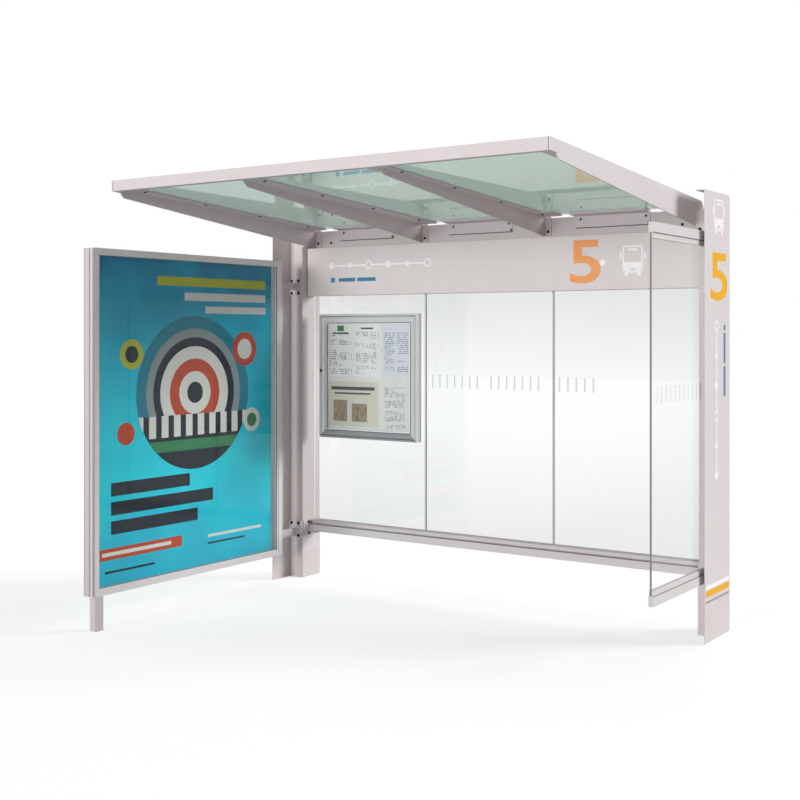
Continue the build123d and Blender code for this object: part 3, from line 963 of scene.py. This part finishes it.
def printed_sheet(name, colour, print_colour, left, right, low, high, rows, columns):
    """Paper with rows of small print in columns, broken into words and paragraphs."""
    finish = Finish(name)
    across = finish.along("X")
    up = finish.along("Z")
    inside = (across > left + 0.012) * (across < right - 0.012) * (up > low + 0.015) * (up < high - 0.05)
    words = finish.noise(110.0, 1.0, (1.0, 1.0, 0.35)) > 0.47
    paragraphs = finish.noise(26.0, 0.0, (0.1, 0.1, 1.0)) > 0.42
    lines = (up % rows) < rows * 0.5
    gaps = ((across - left) % columns) < columns * 0.84
    print_depth = inside * lines * words * gaps * paragraphs * 0.75
    finish.shade(
        {
            "Base Color": finish.blend(print_depth, colour, print_colour),
            "Roughness": finish.noise(20.0) * 0.1 + 0.6,
        }
    )
    return finish


tan_paper = ink("tan_paper", tone(228, 222, 208), 0.6)
brown_print = Finish("brown_print")
mottle = brown_print.noise(42.0, 4.0, (1.6, 1, 0.6))
brown_print.shade(
    {
        "Base Color": brown_print.blend(mottle, tone(92, 70, 48), tone(206, 190, 164)),
        "Roughness": 0.6,
    }
)
green_print = ink("green_print", tone(70, 130, 85), 0.6)
note_print = ink("note_print", tone(92, 94, 98), 0.6)

PAPER = 0.0003
board_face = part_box("notice_board")[0].y


def sheet(name, finish, left, right, low, high, face=board_face):
    """One flat sheet on the board, or on what lies there, between its left, right, low and high edges."""
    shape = bar(0, 0, right - left, high - low)
    film(name, [shape], finish, "board", FRONT, (left, face, low), PAPER)


for name, paper, print_colour, left, right, low, high, rows, columns in (
    ("route_sheet", tone(244, 244, 240), tone(70, 72, 78), -1.162, -0.964, 1.262, 1.586, 0.013, 0.090),
    ("time_sheet", tone(246, 246, 244), tone(110, 112, 118), -0.957, -0.757, 1.262, 1.586, 0.010, 0.060),
    ("fare_sheet", tone(232, 236, 242), tone(128, 134, 152), -0.738, -0.527, 1.262, 1.586, 0.012, 0.105),
    ("rules_sheet", tone(238, 238, 238), tone(120, 122, 128), -0.738, -0.527, 0.940, 1.250, 0.009, 0.200),
):
    printed = printed_sheet(name, paper, print_colour, left, right, low, high, rows, columns)
    sheet(name, printed, left, right, low, high)
sheet("offer_sheet", tan_paper, -1.162, -0.769, 0.955, 1.231)

for name, finish, left, right, low, high in (
    ("route_head", green_print, -1.088, -1.038, 1.540, 1.574),
    ("route_title", note_print, -1.125, -1.000, 1.522, 1.532),
    ("time_head", note_print, -0.905, -0.810, 1.552, 1.562),
    ("offer_head", note_print, -1.135, -0.800, 1.178, 1.198),
    ("offer_line", note_print, -1.110, -0.830, 1.152, 1.162),
    ("offer_left", brown_print, -1.118, -1.012, 0.985, 1.115),
    ("offer_right", brown_print, -0.975, -0.858, 0.985, 1.095),
):
    sheet(name, finish, left, right, low, high, board_face - PAPER)

# ---------------------------------------------------------------------------
# Totem plate: a tall steel plate on the right post in a like coat, with the
# stop's signs as film on its outer face: a bus, a number, a plan of the line,
# and three bands across its foot.
# ---------------------------------------------------------------------------
totem_coat = powder_coat("totem_coat", tone(224, 216, 216), 0.5)
coat(totem_coat, "totem_plate")
yellow_film = ink("yellow_film", tone(246, 180, 14))
grey_film = ink("grey_film", tone(165, 163, 164))

totem_low, totem_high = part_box("totem_plate")


def side_film(name, shapes, finish, y, z):
    """Film on the outer face of the totem plate, from a corner at y and z."""
    film(name, shapes, finish, "totem_metal", RIGHT, (totem_high.x, y, z), 0.0002)


side_film("totem_bus", bus_sign(0.165), white_film, 0.672, 2.020)
side_film("totem_number", [numeral("5", 0.231, 0.241)], yellow_film, 0.639, 1.691)
upright_plan = line_plan(0.750, 6, 0.026)
for shape in upright_plan:
    shape.data.transform(Matrix.Rotation(math.radians(90), 4, "Z"))
side_film("totem_line", upright_plan, white_film, 0.722, 0.815)
note_bars = [bar(0, low, 0.026, high) for low, high in ((0, 0.150), (0.166, 0.320), (0.334, 0.360))]
side_film("totem_note", note_bars, blue_film, 0.818, 1.210)

BAND_INSET = 0.012
band_wide = totem_high.y - totem_low.y - 2 * BAND_INSET
for name, finish, low, tall in (
    ("totem_white_band", white_film, 0.264, 0.020),
    ("totem_yellow_band", yellow_film, 0.226, 0.032),
    ("totem_grey_band", grey_film, 0.196, 0.012),
):
    side_film(name, [bar(0, 0, band_wide, tall)], finish, totem_low.y + BAND_INSET, low)

for model in (arm_bolt, flange_screw, clamp_screw, lock):
    bpy.data.objects.remove(model)
